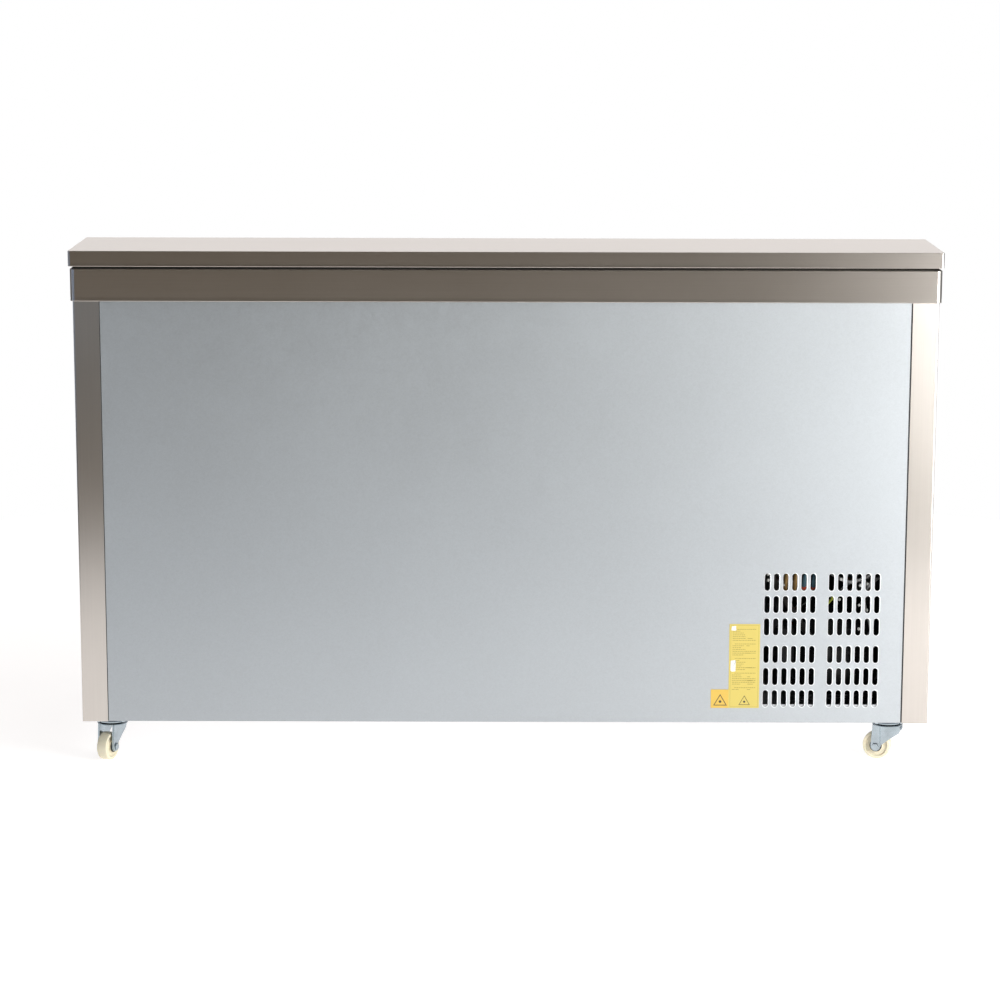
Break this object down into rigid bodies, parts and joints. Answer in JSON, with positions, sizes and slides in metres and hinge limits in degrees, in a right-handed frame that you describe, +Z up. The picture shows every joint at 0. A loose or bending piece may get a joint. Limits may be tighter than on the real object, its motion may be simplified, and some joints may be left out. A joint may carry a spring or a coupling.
{
  "type": "slope-front chest freezer",
  "caption": "Stainless slope-front chest freezer on swivel castors, flat rear deck, hinged sloping lids, vented back panel and front control strip.",
  "frame": {"origin": "on the floor under the middle of the cabinet", "axes": "+Z up, +Y towards the vented back, -Y towards the sloping lids and controls, X along the length"},
  "size_m": [1.5, 0.66, 0.907],
  "materials": {
    "stainless": "brushed stainless sheet with a fine even grain",
    "polished_steel": "bright polished bar",
    "galvanised": "galvanised sheet with a faint spangle",
    "foam": "rigid cream insulation foam",
    "white_liner": "smooth white moulded liner",
    "grey_trim": "satin grey moulding",
    "basket_coating": "smooth white dip coating",
    "gasket_rubber": "matt black extruded seal",
    "plug_rubber": "matt black rubber",
    "evaporator_aluminium": "plain mill aluminium with thin fins",
    "black_enamel": "black enamel",
    "black_plastic": "fine textured black moulding",
    "copper": "drawn copper tube, slightly dulled",
    "green_switch": "clear green moulding",
    "yellow_label": "printed yellow sticker with plain bars",
    "zinc_plate": "bright bluish zinc plating on pressed steel",
    "nylon_wheel": "cream moulded nylon"
  },
  "bodies": {
    "cabinet": {"collar": "stainless", "rear_deck": "stainless", "side_panel_left": "stainless", "side_panel_right": "stainless", "front_panel": "stainless", "deck_hinge_left": "stainless", "deck_hinge_right": "stainless", "rear_panel": "galvanised", "base_pan": "galvanised", "fan_shroud": "galvanised", "deck_insulation": "foam", "insulation": "foam", "tub_liner": "white_liner", "breaker_frame": "grey_trim", "front_grille": "grey_trim", "drain_outlet": "grey_trim", "terminal_box": "grey_trim", "evaporator_cover": "evaporator_aluminium", "evaporator_coil": "evaporator_aluminium", "drip_tray": "evaporator_aluminium", "condenser": "evaporator_aluminium", "compressor": "black_enamel", "evaporator_motor": "black_enamel", "condenser_motor": "black_enamel", "control_box": "black_plastic", "filter_drier": "copper", "discharge_pipe": "copper", "suction_pipe": "copper", "indicator_lamp": "green_switch", "rear_label": "yellow_label", "castor_plate_rear_left": "zinc_plate", "castor_plate_rear_right": "zinc_plate", "castor_plate_front_left": "zinc_plate", "castor_plate_front_right": "zinc_plate"},
    "lid_left": {"lid_shell_left": "stainless", "lid_liner_left": "white_liner", "lid_gasket_left": "gasket_rubber", "lid_handle_left": "polished_steel", "lid_hinge_left": "stainless"},
    "lid_right": {"lid_shell_right": "stainless", "lid_liner_right": "white_liner", "lid_gasket_right": "gasket_rubber", "lid_handle_right": "polished_steel", "lid_hinge_right": "stainless"},
    "cold_fan": {"evaporator_fan": "black_plastic"},
    "hot_fan": {"condenser_fan": "black_plastic"},
    "knob": {"thermostat_knob": "black_plastic"},
    "rocker": {"power_switch": "green_switch"},
    "plug": {"drain_plug": "plug_rubber"},
    "basket_body_left": {"basket_left": "basket_coating"},
    "basket_body_right": {"basket_right": "basket_coating"},
    "swivel_rear_left": {"castor_fork_rear_left": "zinc_plate"},
    "roller_rear_left": {"castor_wheel_rear_left": "nylon_wheel"},
    "swivel_rear_right": {"castor_fork_rear_right": "zinc_plate"},
    "roller_rear_right": {"castor_wheel_rear_right": "nylon_wheel"},
    "swivel_front_left": {"castor_fork_front_left": "zinc_plate"},
    "roller_front_left": {"castor_wheel_front_left": "nylon_wheel"},
    "swivel_front_right": {"castor_fork_front_right": "zinc_plate"},
    "roller_front_right": {"castor_wheel_front_right": "nylon_wheel"}
  },
  "joints": [
    {"name": "lid_left_hinge", "type": "hinge", "parent": "cabinet", "child": "lid_left", "pos_m": [-0.375, 0.084, 0.903], "axis": [-1, 0, 0], "range_deg": [0, 110]},
    {"name": "lid_right_hinge", "type": "hinge", "parent": "cabinet", "child": "lid_right", "pos_m": [0.375, 0.084, 0.903], "axis": [-1, 0, 0], "range_deg": [0, 110]},
    {"name": "basket_left_slide", "type": "slide", "parent": "cabinet", "child": "basket_body_left", "axis": [1, 0, 0], "range_m": [0, 0.36]},
    {"name": "basket_right_slide", "type": "slide", "parent": "cabinet", "child": "basket_body_right", "axis": [-1, 0, 0], "range_m": [0, 0.36]},
    {"name": "evaporator_fan_spin", "type": "hinge", "parent": "cabinet", "child": "cold_fan", "pos_m": [0.42, 0.128, 0.582], "axis": [0, 1, 0], "continuous": true},
    {"name": "condenser_fan_spin", "type": "hinge", "parent": "cabinet", "child": "hot_fan", "pos_m": [-0.595, -0.227, 0.18], "axis": [0, 1, 0], "continuous": true},
    {"name": "thermostat_turn", "type": "hinge", "parent": "cabinet", "child": "knob", "pos_m": [-0.65, -0.318, 0.318], "axis": [0, 1, 0], "range_deg": [-135, 135]},
    {"name": "power_rocker_tilt", "type": "hinge", "parent": "cabinet", "child": "rocker", "pos_m": [-0.575, -0.312, 0.318], "axis": [1, 0, 0], "range_deg": [-8, 8]},
    {"name": "drain_plug_lift", "type": "slide", "parent": "cabinet", "child": "plug", "axis": [0, 0, 1], "range_m": [0, 0.05]},
    {"name": "castor_rear_left_swivel", "type": "hinge", "parent": "cabinet", "child": "swivel_rear_left", "pos_m": [-0.68, 0.279, 0.065], "axis": [0, 0, 1], "continuous": true},
    {"name": "castor_rear_left_roll", "type": "hinge", "parent": "swivel_rear_left", "child": "roller_rear_left", "pos_m": [-0.66288, 0.27344, 0.02479], "axis": [0.309, 0.9511, 0], "continuous": true},
    {"name": "castor_rear_right_swivel", "type": "hinge", "parent": "cabinet", "child": "swivel_rear_right", "pos_m": [0.697, 0.279, 0.065], "axis": [0, 0, 1], "continuous": true},
    {"name": "castor_rear_right_roll", "type": "hinge", "parent": "swivel_rear_right", "child": "roller_rear_right", "pos_m": [0.70374, 0.29569, 0.02479], "axis": [-0.9272, 0.3746, 0], "continuous": true},
    {"name": "castor_front_left_swivel", "type": "hinge", "parent": "cabinet", "child": "swivel_front_left", "pos_m": [-0.68, -0.279, 0.065], "axis": [0, 0, 1], "continuous": true},
    {"name": "castor_front_left_roll", "type": "hinge", "parent": "swivel_front_left", "child": "roller_front_left", "pos_m": [-0.69631, -0.28661, 0.02479], "axis": [0.4226, -0.9063, 0], "continuous": true},
    {"name": "castor_front_right_swivel", "type": "hinge", "parent": "cabinet", "child": "swivel_front_right", "pos_m": [0.697, -0.279, 0.065], "axis": [0, 0, 1], "continuous": true},
    {"name": "castor_front_right_roll", "type": "hinge", "parent": "swivel_front_right", "child": "roller_front_right", "pos_m": [0.69084, -0.29591, 0.02479], "axis": [0.9397, -0.342, 0], "continuous": true}
  ]
}
